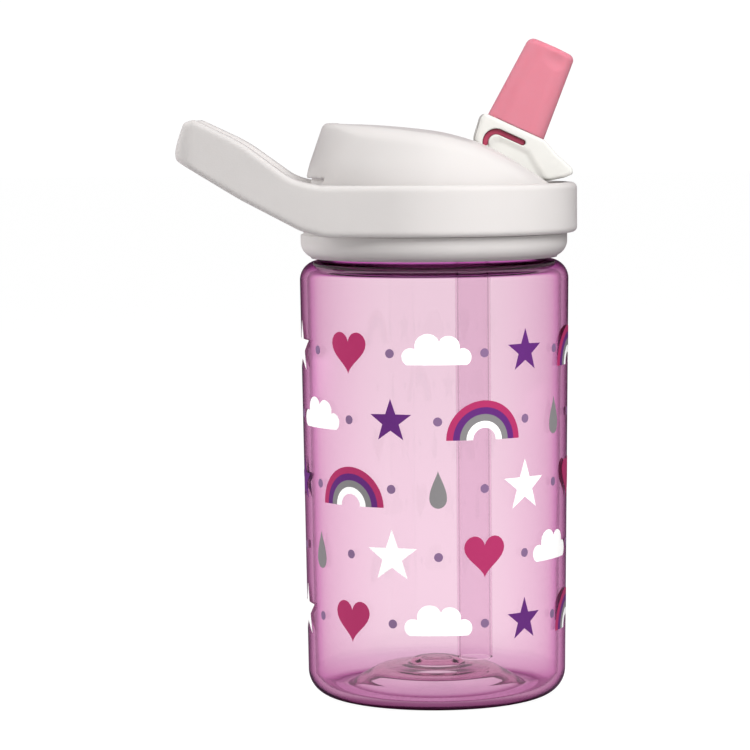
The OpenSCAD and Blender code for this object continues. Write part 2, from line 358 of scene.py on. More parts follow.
def add_node(nodes, kind, values=(), **settings):
    """A new shader node with its settings and the values of its inputs."""
    node = nodes.new("ShaderNode" + kind)
    for name, setting in settings.items():
        setattr(node, name, setting)
    set_inputs(node, values)
    return node


def set_inputs(node, values):
    """Sets inputs of a node from a dictionary of names and values."""
    for name, value in dict(values).items():
        node.inputs[name].default_value = value


def noise(nodes, links, scale, detail):
    """Noise over the piece itself, from 0 to 1."""
    place = add_node(nodes, "TexCoord")
    node = add_node(nodes, "TexNoise", {"Scale": scale, "Detail": detail})
    links.new(place.outputs["Object"], node.inputs["Vector"])
    return node.outputs["Fac"]


def roughen(nodes, links, height, strength, distance):
    """Bumps on the shader's surface."""
    bump = add_node(nodes, "Bump", {"Strength": strength, "Distance": distance})
    links.new(height, bump.inputs["Height"])
    links.new(bump.outputs["Normal"], nodes["Principled BSDF"].inputs["Normal"])


def plastic(name, colour, roughness, grain=0.5, soft=0.0, soft_colour=(1, 1, 1), glow=0.0, mottle=0.03):
    """Moulded plastic, silicone or ink: a fine grain in the surface and a faint unevenness in its colour.

    glow is emission: painted light that stands in for the light thin ink lets through from behind.
    """
    mat, nodes, links, shader = new_material(name)
    cloudy = noise(nodes, links, scale=60, detail=3)
    tint = add_node(nodes, "Mix", data_type="RGBA")
    set_inputs(tint, {"A": (*[c * (1 - mottle) for c in colour], 1),
                      "B": (*[min(1, c * (1 + mottle)) for c in colour], 1)})
    links.new(cloudy, tint.inputs["Factor"])
    links.new(tint.outputs["Result"], shader.inputs["Base Color"])
    gloss = add_node(nodes, "MapRange", {"To Min": roughness - 0.04, "To Max": roughness + 0.04})
    links.new(cloudy, gloss.inputs["Value"])
    links.new(gloss.outputs["Result"], shader.inputs["Roughness"])
    fine = noise(nodes, links, scale=2600, detail=2)
    roughen(nodes, links, fine, strength=grain, distance=0.00003)
    set_inputs(shader, {"IOR": 1.48})
    if soft:
        set_inputs(shader, {"Subsurface Weight": soft, "Subsurface Radius": soft_colour,
                            "Subsurface Scale": 0.002})
    # Painted light: emission that makes the ink glow though it is no lamp.
    if glow:
        set_inputs(shader, {"Emission Color": (*colour, 1), "Emission Strength": glow})
    return mat


def clear(name, colour, density, roughness=0.02, ior=1.5, tint=(1, 1, 1)):
    """Clear plastic that takes up light on its way through, with the faint waviness of a moulding."""
    mat, nodes, links, shader = new_material(name)
    set_inputs(shader, {"Base Color": (*tint, 1), "Transmission Weight": 1, "Roughness": roughness,
                        "IOR": ior})
    depth = add_node(nodes, "VolumeAbsorption", {"Color": (*colour, 1), "Density": density})
    links.new(depth.outputs["Volume"], nodes["Material Output"].inputs["Volume"])
    wavy = noise(nodes, links, scale=45, detail=1)
    roughen(nodes, links, wavy, strength=0.25, distance=0.0002)
    return mat


def ramp(nodes, links, source, stops):
    """Colour by a number from 0 to 1, through stops of (number, colour)."""
    node = add_node(nodes, "ValToRGB")
    elements = node.color_ramp.elements
    elements.remove(elements[1])
    elements[0].position = stops[0][0]
    elements[0].color = (*stops[0][1], 1)
    for position, colour in stops[1:]:
        elements.new(position).color = (*colour, 1)
    links.new(source, node.inputs["Fac"])
    return node.outputs["Color"]


def deepen_walls(mat, edge, edge_from, height_stops, height_top):
    """Deepens the colour of a clear material where its walls are seen edge-on, and by height.

    edge lists (facing, colour) for faces further than edge_from from the axis. height_stops lists (height,
    colour) up to height_top. Heights and edge_from are in metres.
    """
    nodes, links = mat.node_tree.nodes, mat.node_tree.links
    place = add_node(nodes, "TexCoord").outputs["Object"]
    flat = add_node(nodes, "VectorMath", {1: (1, 1, 0)}, operation="MULTIPLY")
    radius = add_node(nodes, "VectorMath", operation="LENGTH")
    on_wall = add_node(nodes, "MapRange", {"From Min": edge_from, "From Max": edge_from + 0.003})
    facing = add_node(nodes, "LayerWeight")
    base = add_node(nodes, "Mix", data_type="RGBA")
    set_inputs(base, {"A": (1, 1, 1, 1)})
    links.new(place, flat.inputs[0])
    links.new(flat.outputs[0], radius.inputs[0])
    links.new(radius.outputs["Value"], on_wall.inputs["Value"])
    links.new(on_wall.outputs["Result"], base.inputs["Factor"])
    links.new(ramp(nodes, links, facing.outputs["Facing"], edge), base.inputs["B"])
    split = add_node(nodes, "SeparateXYZ")
    height = add_node(nodes, "MapRange", {"From Max": height_top})
    links.new(place, split.inputs["Vector"])
    links.new(split.outputs["Z"], height.inputs["Value"])
    heights = ramp(nodes, links, height.outputs["Result"], [(h / height_top, c) for h, c in height_stops])
    deepen = add_node(nodes, "Mix", data_type="RGBA", blend_type="MULTIPLY")
    set_inputs(deepen, {"Factor": 1})
    links.new(base.outputs["Result"], deepen.inputs["A"])
    links.new(heights, deepen.inputs["B"])
    links.new(deepen.outputs["Result"], nodes["Principled BSDF"].inputs["Base Color"])


cap_white = plastic("cap_white", srgb(214, 210, 208), 0.42, soft=0.12, soft_colour=(1, 0.9, 0.85))
stem_white = plastic("stem_white", srgb(224, 223, 218), 0.26, grain=0.3, soft=0.1)
pink_soft = plastic("pink_silicone", srgb(212, 132, 147), 0.45, grain=0.8, soft=0.6,
                    soft_colour=(1, 0.5, 0.55))
# A deeper pink: painted shade for the mouthpiece's root, deep in the windows of the stem.
pink_painted_shade = plastic("pink_silicone_painted_shade", srgb(172, 66, 92), 0.5, grain=0.8)
pale_soft = plastic("pale_silicone", srgb(236, 236, 234), 0.5, grain=0.8, soft=0.2)
straw_clear = clear("straw_clear", (0.8, 0.5, 0.7), density=30, roughness=0.05, ior=1.08,
                    tint=(0.94, 0.87, 0.92))
tinted = clear("tinted_clear", (0.875, 0.45, 0.67), density=200)
WALL_EDGE = [(0.08, (1, 1, 1)), (0.24, (0.98, 0.93, 0.97)), (0.37, (0.95, 0.88, 0.94)),
             (0.52, (0.93, 0.80, 0.91)), (0.60, (0.90, 0.70, 0.87)), (0.69, (0.82, 0.42, 0.77)),
             (0.74, (0.68, 0.28, 0.63)), (0.80, (0.31, 0.085, 0.256)), (0.90, (0.06, 0.014, 0.05))]
# Darker towards the foot. From just under the shoulder's top up through the neck, painted shade under the
# collar.
WALL_BY_HEIGHT = [(0, (0.25, 0.07, 0.20)), (0.0007, (0.36, 0.13, 0.30)), (0.0016, (0.80, 0.64, 0.77)),
              (0.0050, (0.82, 0.68, 0.80)), (0.0080, (0.97, 0.93, 0.96)), (0.0120, (1, 1, 1)),
              ((shoulder_z - 3) * MM, (1, 1, 1)), ((shoulder_z - 1) * MM, (0.6, 0.22, 0.6))]
deepen_walls(tinted, WALL_EDGE, edge_from=0.023, height_stops=WALL_BY_HEIGHT, height_top=0.12)
# Each ink glows a little: painted light that brightens the print.
INKS = {
    "white": plastic("ink_white", srgb(252, 252, 250), 0.4, grain=0.3, glow=0.2, mottle=0.01),
    "grey": plastic("ink_grey", srgb(135, 133, 134), 0.4, grain=0.3, glow=0.06),
    "magenta": plastic("ink_magenta", srgb(180, 48, 102), 0.4, grain=0.3, glow=0.06),
    "violet": plastic("ink_violet", srgb(100, 42, 122), 0.4, grain=0.3, glow=0.06),
    "mauve": plastic("ink_mauve", srgb(136, 106, 144), 0.4, grain=0.3, glow=0.06),
}


# ---------------------------------------------------------------- bottle
def thread_height(z, angle, drop, first, last):
    """Height of the three-start thread above its wall, by height and angle.

    Each ridge runs from first to last, in degrees from its start, and lies drop lower than on the neck.
    """
    half_foot, flank, fade = 1.1, 0.5, 14
    out = np.zeros(z.shape)
    for start in (0, 120, 240):
        a = (np.degrees(angle) - start) % 360
        centre = thread_z - drop + lead * a / 360
        ends = np.clip(np.minimum(a - first, last - a) / fade, 0, 1)
        out = np.maximum(out, np.clip((half_foot - np.abs(z - centre)) / flank, 0, 1) * ends)
    return out * ridge_h


def bottle_radius(z):
    """Outside radius of the tapered body."""
    height = shoulder_z - shoulder_corner - base_corner
    return body_r_foot + (z - base_corner) * (body_r_top - body_r_foot) / height


def bottle_outside():
    """Half section from the middle of the floor's underside, up the wall, to the foot of the neck."""
    corner_z = shoulder_z - shoulder_corner
    foot_x = body_r_foot - base_corner
    floor = filleted([(0, 8.0), (3.6, 7.9, 5), (6.6, 6.5, 4), (9.8, 6.3, 12), (15.6, 5.5, 9),
                      (20.6, 2.5, 9), (23.4, 0, 1.6), (27, 0)], closed=False)
    return (floor + [(foot_x - 0.3, 0)] + arc(foot_x, base_corner, base_corner, -90, 0, 20)
            + [(bottle_radius(z), z) for z in np.linspace(10, corner_z - 2, 12)]
            + arc(body_r_top - shoulder_corner, corner_z, shoulder_corner, 0, 90, 14))


def bottle_inside(neck_in):
    """Half section from the neck's bore, down the wall, to the middle of the floor."""
    corner_z = shoulder_z - shoulder_corner
    shoulder_x = body_r_top - shoulder_corner
    inner_corner = base_corner - wall
    neck = [(neck_in, z) for z in np.linspace(rim_z - 2, shoulder_z - wall + 1.2, 5)]
    neck += filleted([(neck_in, shoulder_z - wall + 1), (neck_in, shoulder_z - wall, 0.7),
                      (shoulder_x, shoulder_z - wall)], closed=False)[1:]
    floor = filleted([(27, 2.2), (24.4, 2.3, 2.5), (21.2, 4.6, 9), (16, 7.4, 9), (9.3, 8.3, 12),
                      (7.6, 8.4, 1.6), (6.2, 9.7, 2.6), (3.6, 10.0, 6), (0, 10.1)], closed=False)
    return (neck + arc(shoulder_x, corner_z, shoulder_corner - wall, 88, 0, 12)
            + [(bottle_radius(z) - wall, z) for z in np.linspace(corner_z - 2, 10, 12)]
            + arc(body_r_foot - wall - inner_corner, base_corner + 0.2, inner_corner, 0, -88, 16) + floor)


def make_bottle():
    """The blown body with its pushed-up floor and its threaded neck."""
    neck_in = neck_r - 2.4
    neck_out = [(neck_r + 0.25, shoulder_z), (neck_r, shoulder_z + 0.25)]
    neck_out += [(neck_r, z) for z in np.arange(shoulder_z + 0.6, rim_z - 0.7, 0.2 * COARSE)]
    rim = filleted([(neck_r, rim_z - 0.6), (neck_r, rim_z, 0.45), (neck_in, rim_z, 0.45),
                    (neck_in, rim_z - 0.6)], closed=False)

    def thread(r, z, a):
        on_neck = (np.abs(r - neck_r) < NEAR) & (z > shoulder_z + 0.5) & (z < rim_z - 0.6)
        return np.where(on_neck, thread_height(z, a, drop=0, first=3, last=153), 0)

    verts, faces = revolved(bottle_outside() + neck_out + rim + bottle_inside(neck_in), TURN, thread)
    piece(mesh_object("bottle_shell", verts, faces, tinted), "bottle", "tinted_clear_plastic", "bottle")


# ---------------------------------------------------------------- cap
def make_collar():
    """The inner cap: threaded wall, plate with a groove for the gasket, and the straw's socket."""
    inside_r = neck_r + ridge_h + 0.7
    edge = 4.5
    low = collar_low[2]
    outside = filleted([(inside_r, low + 0.15, 0.3), (inside_r + 0.3, low)], closed=False)
    outside += arc(collar_r - edge, low + edge, edge, -66, 0, 16)
    outside += filleted([(collar_r, band_z0 - 0.6), (collar_r, band_z0 - 0.1, 0.3), (seat_r, band_z0 - 0.1),
                         (seat_r, plate_z1, 0.3), (33, plate_z1)], closed=False)
    top = [(r, plate_z1) for r in (26, 18, 8, 0)]
    under = [(r, plate_z0) for r in (0, 8, 18)]
    under += filleted([(25, plate_z0), (27, plate_z0, 0.2), (27, plate_z0 - 2, 0.3), (28, plate_z0 - 2, 0.3),
                       (28, plate_z0, 0.2), (inside_r, plate_z0, 0.4), (inside_r, plate_z0 - 1.2)],
                      closed=False)
    under += [(inside_r, z) for z in np.arange(plate_z0 - 1.5, low + 0.6, -0.2 * COARSE)]

    def thread(r, z, a):
        on_wall = (np.abs(r - inside_r) < NEAR) & (z < plate_z0 - 1.4) & (z > low + 0.5)
        return np.where(on_wall, -thread_height(z, a, drop=lead / 6, first=39, last=159), 0)

    ring = revolved(under + outside + top, TURN, thread)
    bore, tube, shelf = 2.7, 3.9, 5.2      # radii of the straw's socket
    verts, faces = revolved(filleted([(bore, nozzle_z, 0.2), (tube, nozzle_z, 0.5), (tube, shelf_z),
                                      (shelf, shelf_z, 0.3), (shelf, plate_z0 + 0.4),
                                      (bore, plate_z0 + 0.4)]), segments=64)
    nozzle = (verts + [(straw_low[0] + straw_high[0]) / 2, 0, 0], faces)
    piece(mesh_object("threaded_collar", *joined(ring, nozzle), cap_white), "cap", "white_plastic",
          "cap_collar")


def make_gasket():
    """The flat silicone ring between the cap's plate and the rim."""
    low, high = gasket_low[2], gasket_high[2]
    outer, inner = gasket_high[0], gasket_high[0] - 3.7
    profile = filleted([(inner, low, 0.4), (outer, low, 0.4), (outer, high, 0.4), (inner, high, 0.4)])
    verts, faces = revolved(profile, segments=160)
    piece(mesh_object("rim_gasket_ring", verts, faces, pale_soft), "gasket", "white_silicone", "rim_gasket")


def loop_outline(circle_r, corner_r):
    """Plan of the handle: a circle joined to two end corners by their tangents."""
    cx = handle_low[0] + loop_corner
    a = math.degrees(math.atan2(loop_y, cx)) - math.degrees(
        math.acos((circle_r - corner_r) / math.hypot(cx, loop_y)))
    upper = arc(cx, loop_y, corner_r, a, 180, 8)
    return arc(0, 0, circle_r, -a, a, 60) + upper + [(x, -y) for x, y in reversed(upper)]


def make_handle():
    """The band round the cap, which rises at the back into the finger loop."""
    top = handle_high[2]
    rise = filleted([(20, band_z0 - 0.01), (-29, band_z0 - 0.01, 8), (-35.5, 127.6, 12), (-51.8, 136, 60),
                     (-69.2, 146.4, 1.5), (-69.7, 148.4, 2.5), (-66.6, top - 0.8, 1.6), (-63.8, top + 0.1, 2),
                     (-51, 151.0, 40), (-37.6, 141.1, 14), (-30.5, band_z1, 6), (20, band_z1)])
    plan = loop_outline(band_r, loop_corner)
    opening = loop_outline(26.0, 2.5)
    inner = seat_r + 0.2
    loop_x, gap_x = -6, -18                # the loop's outline and its opening count only behind these
    band = filleted([(inner, band_z0), (band_r, band_z0, 1.5), (band_r, band_z1, 1.5), (inner, band_z1)])

    def field(p):
        x, y, z = p.T
        r = np.hypot(x, y)
        loop = both(inside(x, np.abs(y), plan), inside(x, z, rise), 1.5)
        body = np.minimum(inside(r, z, band), both(loop, x - loop_x))
        gap = both(inside(x, np.abs(y), opening), x - gap_x)
        return less(less(body, gap, 1.4), r - inner, 0.4)

    verts, faces = skin(field, handle_low, handle_high, step=0.55)
    piece(mesh_object("finger_loop_band", verts, faces, cap_white), "cap", "white_plastic", "carry_handle")


def make_dome():
    """The domed top with its undercut foot, the spout's groove, the seat of its seal and the pin bores."""
    crest = smooth_curve([(-44, 155.8), (-33, 156), (-24, 155.8), (-12.5, 155.2), (0, 153.8), (8, 151.9),
                          (14, 149.7), (20, 146.5), (26, 142.8), (31, 139.3), (38, 134)])
    slope = np.gradient(crest[:, 1], crest[:, 0])
    foot_z = band_z1 + 0.5
    lean = math.atan2(5.6, dome_z - foot_z)
    groove = filleted([(-25.8, 175), (-24.4, 151.5, 8), (-21.5, 145.5, 4), (-17, 143.1, 5), (3, 135.7, 9),
                       (31, 135.7, 1), (31.4, band_z1 - 0.5, 0.6), (45, band_z1 - 0.5), (45, 175)])
    shell, floor = 2.7, 1.7                # thickness over the hollow and under the groove
    cut_x, cut_in, cut_up = -30, 1.9, 1.7  # where the undercut foot ends, and its depth and height
    seat_out, seat_in = 5.2, 4.05          # radii of the seal's seat
    seat_top, seat_foot = -7.2, -14        # its ends, along the spout from the pivot
    bore_r, bore_y = 1.95, 12.8            # radius and reach of the bores for the pins

    def field(p):
        x, y, z = p.T
        side = (np.hypot(x, y) - dome_r) * math.cos(lean) + (z - foot_z) * math.sin(lean)
        side = both(side, np.hypot(x, y) - dome_r, 2.0)
        crown_r = 3.4 - 2.0 * spread(-x, 18, 27)
        top = (z - np.interp(x, crest[:, 0], crest[:, 1]) + 0.0012 * y * y) / np.sqrt(
            1 + np.interp(x, crest[:, 0], slope) ** 2)
        dome = both(side, top, crown_r)
        channel, reach = inside(x, z, groove), np.abs(y) - groove_y
        form = less(dome, both(channel, reach, 0.6), 1.1)
        form = less(form, both(dome + shell, floor - both(channel, reach)))
        under = np.maximum.reduce([-side - cut_in, z - band_z1 - cut_up, x - cut_x - 0.5 * (z - band_z1)])
        form = less(form, under, 0.3)
        sx, sz = x - pivot[0], z - pivot[2]
        along = sx * math.sin(spout_lean) + sz * math.cos(spout_lean)
        across = np.hypot(sx * math.cos(spout_lean) - sz * math.sin(spout_lean), y)
        seat = both(across - seat_out, np.maximum(along - seat_top, seat_foot - along), 0.3)
        form = less(either(form, seat, 0.5), both(across - seat_in, along))
        form = less(form, both(np.hypot(sx, sz) - bore_r, np.abs(y) - bore_y))
        return both(form, plate_z1 - z)

    verts, faces = skin(field, dome_low, dome_high, step=0.5)
    piece(mesh_object("domed_top", verts, faces, cap_white), "cap", "white_plastic", "cap_dome")


# ---------------------------------------------------------------- spout
# In the fields below, t runs across the spout, y along the pivot and s up the spout from the pivot.
def hook_line(t, s):
    """Distance to the middle line of the hook-shaped window in each cheek."""
    bend, mt, ms = 2.9, -3.4, 4.9          # radius and centre of the bend
    straight_end, last = 3.1, 225          # end of the straight, and of the bend in degrees
    straight = np.hypot(t - np.clip(t, mt, straight_end), s - (ms + bend))
    angle = np.degrees(np.arctan2(s - ms, t - mt)) % 360
    on_bend = (angle > 90) & (angle < last)
    end = math.radians(last)
    tail = np.hypot(t - mt - bend * math.cos(end), s - ms - bend * math.sin(end))
    curve = np.where(on_bend, np.abs(np.hypot(t - mt, s - ms) - bend), tail)
    return np.minimum(straight, curve)


def root_space(t, y, s, gap):
    """The stem's hollow, which the root of the mouthpiece fills, made smaller or larger by a gap."""
    ay = np.abs(y)
    block = np.maximum.reduce([t - 5 - gap, -6.9 - gap - t, ay - 7.5 - gap, 2.9 - gap - s,
                               s - stem_top - gap])
    core = np.maximum(ay - 5.8 + gap, s - 8.3 + gap)
    return np.maximum(block, -core)


def make_stem():
    """The rocking stem: shoe with two cheeks, hub with its pins, and the tube the mouthpiece sits on."""
    side = filleted([(-4, -4, 3), (-6.6, 0, 4), (-9.1, 3.6, 3), (-9.9, 9.4, 2), (-9.4, stem_top, 1.3),
                     (8.3, stem_top, 0.9), (12.6, 8.8, 6), (18.1, 7.1, 1.2), (19.05, 5.8, 0.9),
                     (17.4, 4, 1.4), (14.2, 1.65, 4), (5, -3, 3)])
    cheek = [(-6.6, 0), (-6.1, 3.5), (-5.1, 6.0), (-3.4, 7.2), (3.0, 7.2), (5.8, 6.9), (15.0, 0.6),
             (12, -8), (-8, -8)]
    hub_r, pin_r, pin_y = 6.3, 1.9, 12.6   # radii of the hub and its pins, and the pins' reach
    tube_r, tube_s, bore_r = 4.5, 24, 2.5  # radius, top and bore of the tube
    core_y, core_s = 5.6, 8.1              # half width and top of the space between the cheeks
    hook_r, hook_y = 0.8, 7                # half width of the hook-shaped window, and how deep it goes in

    def field(p):
        t, y, s = p.T
        ay = np.abs(y)
        dip = 0.7 * spread(-inside(t, s, cheek), -0.2, 2.2)
        body = both(inside(t, s, side), ay - stem_y + dip, 1.0)
        body = less(body, np.maximum.reduce([t + 3.5, -12 - t, ay - core_y, s - core_s]), 0.3)
        body = np.maximum(body, -root_space(t, y, s, gap=0.05))
        body = less(body, both(hook_line(t, s) - hook_r, hook_y - ay), 0.2)
        from_pin, from_axis = np.hypot(t, s), np.hypot(t, y)
        body = np.minimum(body, both(from_pin - hub_r, ay - stem_y + 0.8, 0.5))
        body = np.minimum(body, both(from_axis - tube_r, np.maximum(s - tube_s, core_s - s), 0.3))
        body = np.minimum(body, both(from_pin - pin_r, ay - pin_y, 0.3))
        return np.maximum(body, bore_r - from_axis)

    verts, faces = skin(field, (-10, -12.7, -6.4), (19.1, 12.7, 24.1), step=0.3)
    piece(mesh_object("spout_stem_shell", from_spout(verts), faces, stem_white), "spout", "stem_plastic",
          "spout_stem")


def make_mouthpiece():
    """The soft mouthpiece: it narrows to a crowned tip with a slit, and has a dimple on each side."""
    foot_t, foot_y = 8.15, 8.6                 # half width at the foot
    shrink_t, shrink_y = 1.55, 0.8             # how much less it is at the tip
    corner = 5.0                               # radius of the four upright edges
    dimple_t, dimple_s = 3.0, 31.5
    slit_t, slit_y, slit_s = 0.28, 4.5, 3.5    # half width, half length and depth of the slit
    tube_r, tube_s = 4.55, 24.3                # room for the stem's tube
    bore_r, bore_s, bore_half = 4, 28, 4.4     # the bore above the tube: radius, middle and half length
    hub_r = 6.35                               # room for the stem's hub

    def field(p):
        t, y, s = p.T
        ay = np.abs(y)
        share = np.clip((s - stem_top) / (tip_s - stem_top), 0, 1)
        half_y = foot_y - shrink_y * share
        qt, qy = np.abs(t) - (foot_t - shrink_t * share) + corner, ay - half_y + corner
        shell = np.minimum(np.maximum(qt, qy), 0) + np.hypot(np.maximum(qt, 0), np.maximum(qy, 0)) - corner
        crown = s - tip_s + 0.006 * t * t + 0.004 * y * y
        shell = both(both(shell, crown, 1.5), stem_top + 0.05 - s, 0.25)
        dimple = np.sqrt(((t - dimple_t) / 1.8) ** 2 + (ay - half_y - 1.75) ** 2
                         + ((s - dimple_s) / 1.05) ** 2) - 2.2
        slit = both(np.abs(t) - slit_t, np.maximum(ay - slit_y, tip_s - slit_s - s))
        shell = less(less(shell, dimple, 1.2), slit, 0.15)
        from_axis = np.hypot(t, y)
        socket = np.minimum(both(from_axis - tube_r, s - tube_s),
                            both(from_axis - bore_r, np.abs(s - bore_s) - bore_half))
        body = np.maximum(np.minimum(shell, root_space(t, y, s, gap=0.0)), -socket)
        return np.maximum(body, hub_r - np.hypot(t, s))

    verts, faces = skin(field, (-8.3, -8.7, 2.8), (8.3, 8.7, tip_s), step=0.3)
    piece(mesh_object("bite_mouthpiece", from_spout(verts), faces, pink_soft), "spout", "pink_silicone",
          "bite_valve")


def make_root_painted_shade():
    """The root of the mouthpiece where it shows through the hook-shaped window of each cheek, as a thin sheet
    in a deeper pink: the pink is the silicone's own, the deeper tone is painted shade of the window's pocket.
    """
    def field(p):
        t, y, s = p.T
        return both(hook_line(t, s) - 0.65, np.abs(np.abs(y) - 7.6) - 0.3, 0.1)

    verts, faces = skin(field, (-8, -8, 2), (4, 8, 8.6), step=0.2)
    piece(mesh_object("mouthpiece_root_painted_shade", from_spout(verts), faces, pink_painted_shade), "spout", "pink_silicone")


def make_straw():
    """The clear tube under the cap."""
    centre = (straw_low[0] + straw_high[0]) / 2
    outer = (straw_high[0] - straw_low[0]) / 2
    inner = outer - 0.8
    low, high = straw_low[2], straw_high[2]
    profile = filleted([(outer, low, 0.3), (outer, high, 0.3), (inner, high, 0.3), (inner, low, 0.3)])
    verts, faces = revolved(profile, segments=96)
    piece(mesh_object("clear_straw", verts + [centre, 0, 0], faces, straw_clear), "cap",
          "clear_straw_plastic", "straw")


# ---------------------------------------------------------------- print
# Printed shapes are drawn flat: x is the distance round the body from its front, z is the height.
PRINT_R = 36.0                     # radius at which the distance round the body is measured
INK_TOP, INK_FOOT = 0.07, 0.012    # how far the two faces of the ink stand off the wall
BEND = 1.2                         # a shape is cut this often, so that it can follow the wall
outlines = {colour: [] for colour in INKS}


def ink(colour, outline):
    """Adds a flat shape to the print."""
    outlines[colour].append(np.array(outline, float))


def placed(points, x, z, size=1.0):
    """Points drawn about zero, sized and moved to (x, z)."""
    return [(x + px * size, z + pz * size) for px, pz in points]


def star(colour, x, z, r):
    """A star with five points. Its inner corners lie at two fifths of its radius."""
    unit = [(math.sin(i * math.pi / 5) * (0.4 if i % 2 else 1),
             math.cos(i * math.pi / 5) * (0.4 if i % 2 else 1)) for i in range(10)]
    ink(colour, placed(unit, x, z, r))


def heart(colour, x, z, size):
    """A heart, size wide."""
    t = np.linspace(0, 2 * math.pi, 40, endpoint=False)
    across = 16 * np.sin(t) ** 3
    up = 13 * np.cos(t) - 5 * np.cos(2 * t) - 2 * np.cos(3 * t) - np.cos(4 * t)
    ink(colour, np.stack([x + across * size / 32, z + (up + 2) * size / 30], -1))


def drop(colour, x, z, height):
    """A drop with its point up."""
    t = np.linspace(0, 2 * math.pi, 28, endpoint=False)
    across = np.sin(t) * np.sin(t / 2) ** 1.6
    ink(colour, np.stack([x + across * height * 0.34, z + np.cos(t) * height / 2], -1))


def dot(colour, x, z, r):
    """A round dot."""
    ink(colour, placed(arc(0, 0, 1, 0, 345, 23), x, z, r))


def lobes(points):
    """A closed outline of arcs: each point (x, z, bulge) starts an arc that bulges by that much outwards."""
    out = []
    for (ax, az, bulge), (bx, bz, _) in zip(points, points[1:] + points[:1]):
        mid, half = np.array([(ax + bx) / 2, (az + bz) / 2]), np.array([bx - ax, bz - az]) / 2
        out_dir = np.array([-half[1], half[0]]) / np.linalg.norm(half)
        for a in math.pi * np.arange(8) / 8:
            out.append(tuple(mid - half * math.cos(a) + out_dir * bulge * math.sin(a)))
    return out


def cloud(colour, x, z):
    """A cloud with four lobes on a flat foot."""
    top = [(-8.0, -3.0, 2.5), (-5.8, 1.2, 3.0), (0.5, 3.2, 2.4), (5.8, 1.2, 2.2), (7.8, -3.0, 0)]
    ink(colour, placed(lobes(top), x, z))


def rainbow(x, z):
    """Four half rings inside each other."""
    radii = (10.4, 8.6, 6.8, 5.0, 3.2)
    t = np.linspace(0, math.pi, 41)
    for colour, outer, inner in zip(("magenta", "violet", "grey", "white"), radii, radii[1:]):
        over, under = (np.stack([x + r * np.cos(t), z - 5 + r * np.sin(t)], -1) for r in (outer, inner))
        ink(colour, np.vstack([over, under[::-1]]))


FIGURES = (lambda x, z: star("white", x, z, r=7.2),
           lambda x, z: heart("magenta", x, z, size=11.5),
           lambda x, z: cloud("white", x, z),
           lambda x, z: star("violet", x, z, r=6),
           rainbow,
           lambda x, z: drop("grey", x, z, height=10))


def draw_pattern():
    """Plain everyday shapes in staggered rows round the front, with a dot between each two of a row."""
    low, rise, rows = 24.0, 17.9, 5
    step, reach = 12.6, 4
    figures = itertools.cycle(FIGURES)
    for row, column in itertools.product(range(rows), range(-reach, reach + 1)):
        x, z = step * column, low + rise * row
        if (row + column) % 2:
            dot("mauve", x, z, r=1.2)
        else:
            next(figures)(x, z)


def laid_on(outline):
    """Points and faces of one thin closed shape, wrapped round the body."""
    flat = bmesh.new()
    flat.faces.new([flat.verts.new((x, z, 0)) for x, z in outline])
    flat.normal_update()
    bmesh.ops.triangulate(flat, faces=flat.faces[:])
    for x in np.arange(math.ceil(outline[:, 0].min()), outline[:, 0].max(), BEND):
        bmesh.ops.bisect_plane(flat, geom=flat.verts[:] + flat.edges[:] + flat.faces[:], dist=1e-5,
                               plane_co=(x, 0, 0), plane_no=(1, 0, 0))
    flat.normal_update()
    if sum(f.normal.z * f.calc_area() for f in flat.faces) < 0:
        bmesh.ops.reverse_faces(flat, faces=flat.faces[:])
    flat.verts.index_update()
    points = np.array([v.co[:2] for v in flat.verts])
    up = [[v.index for v in f.verts] for f in flat.faces]
    border = [(loop.vert.index, loop.link_loop_next.vert.index) for face in flat.faces
              for loop in face.loops if len(loop.edge.link_faces) == 1]
    flat.free()
    count = len(points)
    angle, z = points[:, 0] / PRINT_R, points[:, 1]
    layers = []
    for stand_off in (INK_TOP, INK_FOOT):
        r = bottle_radius(z) + stand_off
        layers.append(np.stack([r * np.sin(angle), -r * np.cos(angle), z], -1))
    down = [[i + count for i in f[::-1]] for f in up]
    sides = [[b, a, a + count, b + count] for a, b in border]
    return np.vstack(layers), up + down + sides


def make_print():
    """One piece for each colour of ink."""
    draw_pattern()
    for colour, material in INKS.items():
        parts = [laid_on(outline) for outline in outlines[colour]]
        obj = mesh_object("print_" + colour, *joined(*parts), material, smooth=False)
        piece(obj, "bottle", "printed_ink")


# ---------------------------------------------------------------- stage
def make_camera():
    """A long lens in front of the bottle, level with its cap and tilted slightly down."""
    camera = bpy.data.cameras.new("camera")
    camera.sensor_width = 36
    camera.lens = 151.8
    camera.clip_end = 60
    obj = bpy.data.objects.new("camera", camera)
    bpy.context.collection.objects.link(obj)
    down, roll = math.radians(4.54), math.radians(0.5)
    obj.location = (-0.01571, -0.860, 0.1556)
    obj.rotation_euler = (math.pi / 2 - down, roll, 0)
    bpy.context.scene.camera = obj


def seen_directly(nodes, links):
    """1 for what is seen straight on or through clear walls, and less for what those walls mirror."""
    path = add_node(nodes, "LightPath")
    through = add_node(nodes, "Math", operation="MAXIMUM")
    links.new(path.outputs["Is Camera Ray"], through.inputs[0])
    links.new(path.outputs["Is Transmission Ray"], through.inputs[1])
    mirrored = add_node(nodes, "MapRange", {"To Min": 1.0, "To Max": 0.7})
    links.new(path.outputs["Glossy Depth"], mirrored.inputs["Value"])
    share = add_node(nodes, "Math", operation="MULTIPLY")
    links.new(through.outputs[0], share.inputs[0])
    links.new(mirrored.outputs["Result"], share.inputs[1])
    return share.outputs[0]


def lit_or_mirrored(nodes, links, lit, mirrored):
    """The colour lit where light falls on the object, and mirrored where its gloss mirrors the room."""
    path = add_node(nodes, "LightPath")
    colour = add_node(nodes, "Mix", data_type="RGBA")
    set_inputs(colour, {"A": (*lit, 1), "B": (*mirrored, 1)})
    links.new(path.outputs["Is Glossy Ray"], colour.inputs["Factor"])
    return colour.outputs["Result"]


